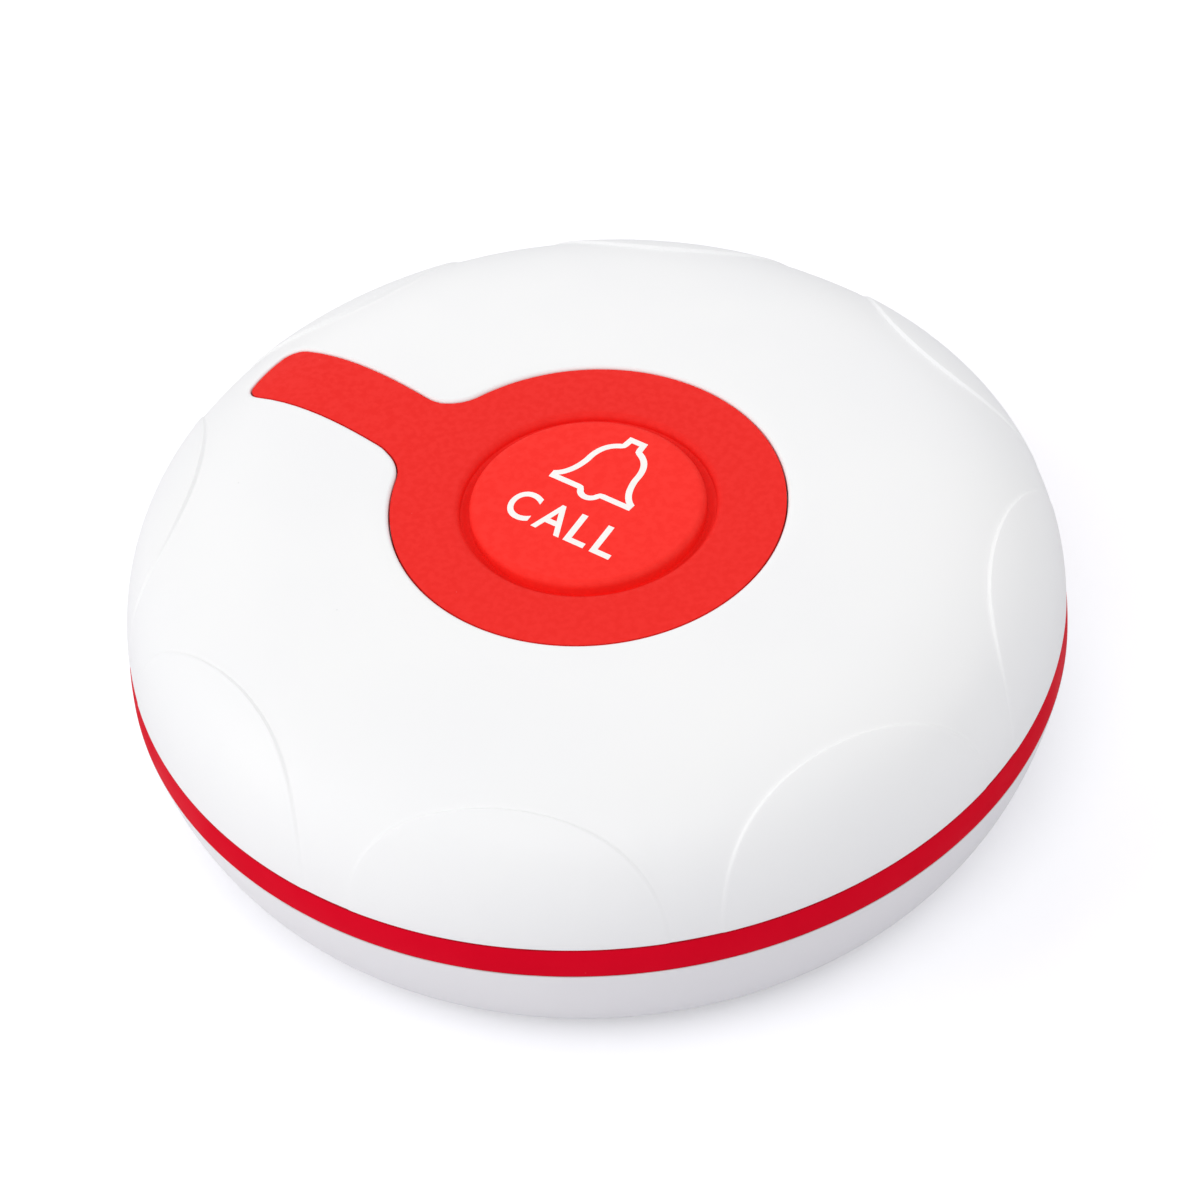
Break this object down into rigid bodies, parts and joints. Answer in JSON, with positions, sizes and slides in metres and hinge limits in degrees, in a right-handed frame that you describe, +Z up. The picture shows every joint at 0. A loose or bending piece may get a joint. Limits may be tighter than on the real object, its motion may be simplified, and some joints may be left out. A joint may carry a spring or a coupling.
{
  "type": "waiter call button",
  "caption": "Round table-top call button: white housing with petals on its shoulder, red band round its waist, red pad with a tail and a round push button",
  "frame": {"origin": "centre of the foot ring's underside, on the table", "axes": "+Z up through the middle of the button; +X is the way the word on the button reads, and the tail of the red pad points along -X"},
  "size_m": [0.0802, 0.0802, 0.0273],
  "materials": {
    "white_shell": "satin moulded plastic",
    "red_silicone": "matte silicone",
    "red_band": "satin silicone",
    "white_part": "moulded plastic",
    "grey_foot": "matte soft plastic",
    "black_part": "moulded plastic",
    "cell_steel": "bright metal can",
    "contact_metal": "plated spring strip",
    "board_green": "solder resist",
    "tin_metal": "tinned or plated metal",
    "antenna_wire": "bare wire",
    "lamp_red": "clear red lens",
    "ceramic": "ceramic",
    "screw_steel": "zinc plated"
  },
  "bodies": {
    "housing": {"top_cover": "white_shell", "button_pad": "red_silicone", "button_web": "red_silicone", "trim_ring": "red_band", "bottom_shell": "white_shell", "foot_ring": "grey_foot", "coin_cell": "cell_steel", "battery_holder": "black_part", "positive_contact": "contact_metal", "negative_contact": "contact_metal", "circuit_board": "board_green", "switch_body": "black_part", "switch_cover": "tin_metal", "switch_legs": "tin_metal", "radio_chip": "black_part", "chip_pins": "tin_metal", "crystal_can": "tin_metal", "capacitor": "tin_metal", "small_parts": "ceramic", "antenna_loop": "antenna_wire", "indicator_lamp": "lamp_red", "lamp_leads": "tin_metal", "housing_screws": "screw_steel", "board_screws": "screw_steel"},
    "button": {"call_button": "red_silicone", "button_plunger": "white_part"},
    "switch": {"switch_stem": "black_part"},
    "lid": {"battery_lid": "white_shell", "lid_gasket": "black_part"}
  },
  "joints": [
    {"name": "press_button", "type": "slide", "parent": "housing", "child": "button", "axis": [0, 0, -1], "range_m": [0, 0.0008], "stiffness_N_per_m": 2500, "springref_m": -0.0006, "deforming": ["button_web"]},
    {"name": "press_switch", "type": "slide", "parent": "housing", "child": "switch", "axis": [0, 0, -1], "range_m": [0, 0.00025]},
    {"name": "turn_battery_lid", "type": "hinge", "parent": "housing", "child": "lid", "pos_m": [0, 0, 0.0014], "axis": [0, 0, 1], "range_deg": [0, 30]}
  ],
  "couplings": [
    {"joint": "press_switch", "follows": "press_button", "ratio": 0.3125}
  ]
}
